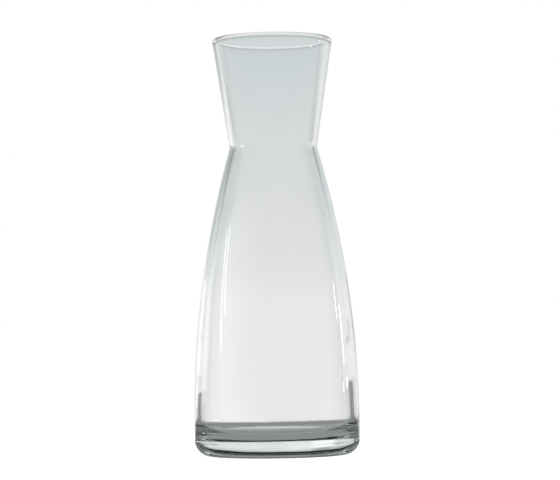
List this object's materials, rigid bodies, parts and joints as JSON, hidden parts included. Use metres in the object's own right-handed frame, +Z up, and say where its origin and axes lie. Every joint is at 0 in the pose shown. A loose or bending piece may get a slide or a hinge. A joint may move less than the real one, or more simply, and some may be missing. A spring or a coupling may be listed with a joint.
{
  "type": "water carafe",
  "caption": "Clear glass table carafe with a heavy flat base, a body that narrows in one long curve to a waist, and a straight flaring open neck for pouring.",
  "frame": {"origin": "centre of the base, on the table that the carafe stands on", "axes": "+Z up along the axis of the round glass; it looks the same from every side, so +X and +Y are any two level directions at right angles"},
  "size_m": [0.103, 0.103, 0.26],
  "materials": {
    "glass": "clear soda-lime glass, fire-polished, with a faint grey-green tint where it is thick"
  },
  "bodies": {
    "root": {"glass_carafe": "glass"}
  },
  "joints": []
}
